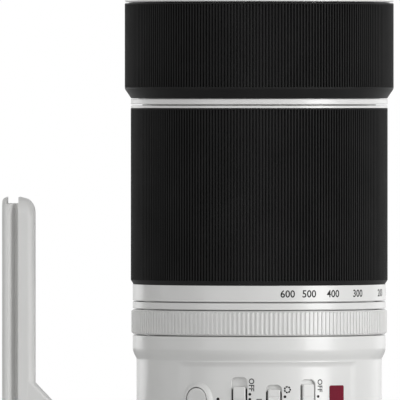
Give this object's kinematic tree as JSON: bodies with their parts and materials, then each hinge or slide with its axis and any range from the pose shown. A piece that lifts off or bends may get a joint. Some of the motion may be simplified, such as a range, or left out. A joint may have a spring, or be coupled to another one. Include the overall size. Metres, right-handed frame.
{
  "type": "telephoto zoom lens",
  "caption": "White telephoto zoom lens with ribbed focus and zoom rings, an aperture ring, a panel of slide switches, a turning tripod collar with a long foot and a bayonet mount.",
  "frame": {"origin": "centre of the lens mount's flange face, on the optical axis", "axes": "+Z along the optical axis towards the front glass, +X away from the tripod foot, -Y towards the side with the switches"},
  "size_m": [0.1439, 0.1159, 0.3215],
  "materials": {
    "white_paint": "satin white paint on light alloy",
    "silver_paint": "satin silver-white paint on light alloy",
    "black_plastic": "fine matte texture",
    "black_metal": "black anodised",
    "rubber_grip": "matte",
    "button_rubber": "matte",
    "white_plastic": "satin",
    "mount_metal": "satin chrome",
    "steel": "brushed",
    "brass": "polished",
    "inner_metal": "machined",
    "inner_black": "matte black",
    "board": "solder mask",
    "glass": "coated"
  },
  "bodies": {
    "barrel": {"hood_mount_ring": "black_plastic", "front_barrel": "white_paint", "mid_ring": "white_paint", "index_ring": "white_paint", "control_barrel": "white_paint", "rear_barrel": "white_paint", "mount_flange": "mount_metal", "mount_screws": "steel", "mount_gasket": "rubber_grip", "contact_block": "black_plastic", "contact_pins": "brass", "front_cell": "inner_black", "front_element": "glass", "front_doublet": "glass", "front_retainer": "black_plastic", "guide_barrel": "inner_metal", "iris_housing": "inner_black", "ois_base": "inner_black", "focus_base": "inner_black", "focus_rods": "steel", "focus_motor": "steel", "rear_cell": "inner_black", "rear_lens": "glass", "main_board": "board"},
    "focus_ring": {"focus_ring": "black_metal", "focus_grip": "rubber_grip"},
    "zoom_ring": {"zoom_ring": "white_paint", "zoom_grip": "rubber_grip", "zoom_key": "brass", "cam_barrel": "inner_metal"},
    "aperture_ring": {"aperture_ring": "silver_paint"},
    "collar": {"collar_ring": "white_paint", "tripod_foot": "white_paint", "foot_screws": "steel"},
    "lock_knob": {"lock_knob": "black_plastic"},
    "preset_selector": {"preset_selector": "white_plastic"},
    "aperture_mode_switch": {"aperture_mode_switch": "white_plastic"},
    "focus_limiter": {"focus_limiter": "white_plastic"},
    "set_button": {"set_button": "white_plastic"},
    "variator": {"variator_cell": "inner_black", "variator_lens": "glass"},
    "compensator": {"compensator_cell": "inner_black", "compensator_lens": "glass"},
    "iris_drive": {"iris_drive_ring": "inner_metal"},
    "ois_slider": {"ois_slider": "inner_black"},
    "ois_cell": {"ois_cell": "inner_black", "ois_lens": "glass"},
    "focus_group": {"focus_cell": "inner_black", "focus_lens": "glass"},
    "focus_button_1": {"focus_button_1": "button_rubber"},
    "focus_button_2": {"focus_button_2": "button_rubber"},
    "focus_button_3": {"focus_button_3": "button_rubber"},
    "focus_button_4": {"focus_button_4": "button_rubber"},
    "iris_blade_1": {"iris_blade_1": "inner_black"},
    "iris_blade_2": {"iris_blade_2": "inner_black"},
    "iris_blade_3": {"iris_blade_3": "inner_black"},
    "iris_blade_4": {"iris_blade_4": "inner_black"},
    "iris_blade_5": {"iris_blade_5": "inner_black"},
    "iris_blade_6": {"iris_blade_6": "inner_black"},
    "iris_blade_7": {"iris_blade_7": "inner_black"}
  },
  "joints": [
    {"name": "focus_turn", "type": "hinge", "parent": "barrel", "child": "focus_ring", "pos_m": [0, 0, 0.2665], "axis": [0, 0, 1], "continuous": true},
    {"name": "zoom_turn", "type": "hinge", "parent": "barrel", "child": "zoom_ring", "pos_m": [0, 0, 0.21], "axis": [0, 0, 1], "range_deg": [0, 78]},
    {"name": "aperture_turn", "type": "hinge", "parent": "barrel", "child": "aperture_ring", "pos_m": [0, 0, 0.1665], "axis": [0, 0, 1], "continuous": true},
    {"name": "collar_turn", "type": "hinge", "parent": "barrel", "child": "collar", "pos_m": [0, 0, 0.092], "axis": [0, 0, 1], "continuous": true},
    {"name": "lock_turn", "type": "hinge", "parent": "collar", "child": "lock_knob", "pos_m": [0, 0.06, 0.092], "axis": [0, 1, 0], "range_deg": [0, 270]},
    {"name": "selector_slide", "type": "slide", "parent": "barrel", "child": "preset_selector", "axis": [0, 0, 1], "range_m": [-0.00185, 0.00185]},
    {"name": "mode_slide", "type": "slide", "parent": "barrel", "child": "aperture_mode_switch", "axis": [0, 0, 1], "range_m": [-0.00185, 0]},
    {"name": "limiter_slide", "type": "slide", "parent": "barrel", "child": "focus_limiter", "axis": [0, 0, 1], "range_m": [-0.00185, 0]},
    {"name": "set_press", "type": "slide", "parent": "barrel", "child": "set_button", "axis": [0.506, 0.8625, 0], "range_m": [0, 0.0008], "stiffness_N_per_m": 500, "springref_m": -0.0005},
    {"name": "focus_button_press_1", "type": "slide", "parent": "barrel", "child": "focus_button_1", "axis": [0, 1, 0], "range_m": [0, 0.0008], "stiffness_N_per_m": 500, "springref_m": -0.0005},
    {"name": "focus_button_press_2", "type": "slide", "parent": "barrel", "child": "focus_button_2", "axis": [-1, 0, 0], "range_m": [0, 0.0008], "stiffness_N_per_m": 500, "springref_m": -0.0005},
    {"name": "focus_button_press_3", "type": "slide", "parent": "barrel", "child": "focus_button_3", "axis": [0, -1, 0], "range_m": [0, 0.0008], "stiffness_N_per_m": 500, "springref_m": -0.0005},
    {"name": "focus_button_press_4", "type": "slide", "parent": "barrel", "child": "focus_button_4", "axis": [1, 0, 0], "range_m": [0, 0.0008], "stiffness_N_per_m": 500, "springref_m": -0.0005},
    {"name": "variator_slide", "type": "slide", "parent": "barrel", "child": "variator", "axis": [0, 0, 1], "range_m": [-0.0361, 0]},
    {"name": "compensator_slide", "type": "slide", "parent": "barrel", "child": "compensator", "axis": [0, 0, 1], "range_m": [0, 0.0141]},
    {"name": "focus_slide", "type": "slide", "parent": "barrel", "child": "focus_group", "axis": [0, 0, 1], "range_m": [0, 0.014]},
    {"name": "ois_x", "type": "slide", "parent": "barrel", "child": "ois_slider", "axis": [1, 0, 0], "range_m": [-0.001, 0.001], "stiffness_N_per_m": 300},
    {"name": "ois_y", "type": "slide", "parent": "ois_slider", "child": "ois_cell", "axis": [0, 1, 0], "range_m": [-0.001, 0.001], "stiffness_N_per_m": 300},
    {"name": "iris_turn", "type": "hinge", "parent": "barrel", "child": "iris_drive", "pos_m": [0, 0, 0.128], "axis": [0, 0, 1], "range_deg": [0, 2.29]},
    {"name": "iris_blade_turn_1", "type": "hinge", "parent": "barrel", "child": "iris_blade_1", "pos_m": [0.029, 0, 0.1255], "axis": [0, 0, 1], "range_deg": [0, 25.2]},
    {"name": "iris_blade_turn_2", "type": "hinge", "parent": "barrel", "child": "iris_blade_2", "pos_m": [0.01808, 0.02267, 0.1255], "axis": [0, 0, 1], "range_deg": [0, 25.2]},
    {"name": "iris_blade_turn_3", "type": "hinge", "parent": "barrel", "child": "iris_blade_3", "pos_m": [-0.00645, 0.02827, 0.1255], "axis": [0, 0, 1], "range_deg": [0, 25.2]},
    {"name": "iris_blade_turn_4", "type": "hinge", "parent": "barrel", "child": "iris_blade_4", "pos_m": [-0.02613, 0.01258, 0.1255], "axis": [0, 0, 1], "range_deg": [0, 25.2]},
    {"name": "iris_blade_turn_5", "type": "hinge", "parent": "barrel", "child": "iris_blade_5", "pos_m": [-0.02613, -0.01258, 0.1255], "axis": [0, 0, 1], "range_deg": [0, 25.2]},
    {"name": "iris_blade_turn_6", "type": "hinge", "parent": "barrel", "child": "iris_blade_6", "pos_m": [-0.00645, -0.02827, 0.1255], "axis": [0, 0, 1], "range_deg": [0, 25.2]},
    {"name": "iris_blade_turn_7", "type": "hinge", "parent": "barrel", "child": "iris_blade_7", "pos_m": [0.01808, -0.02267, 0.1255], "axis": [0, 0, 1], "range_deg": [0, 25.2]}
  ],
  "couplings": [
    {"joint": "variator_slide", "follows": "zoom_turn", "m_per_rad": -0.026444},
    {"joint": "compensator_slide", "follows": "zoom_turn", "m_per_rad": 0.010284},
    {"joint": "iris_blade_turn_1", "follows": "iris_turn", "ratio": 10.922},
    {"joint": "iris_blade_turn_2", "follows": "iris_turn", "ratio": 10.922},
    {"joint": "iris_blade_turn_3", "follows": "iris_turn", "ratio": 10.922},
    {"joint": "iris_blade_turn_4", "follows": "iris_turn", "ratio": 10.922},
    {"joint": "iris_blade_turn_5", "follows": "iris_turn", "ratio": 10.922},
    {"joint": "iris_blade_turn_6", "follows": "iris_turn", "ratio": 10.922},
    {"joint": "iris_blade_turn_7", "follows": "iris_turn", "ratio": 10.922}
  ]
}
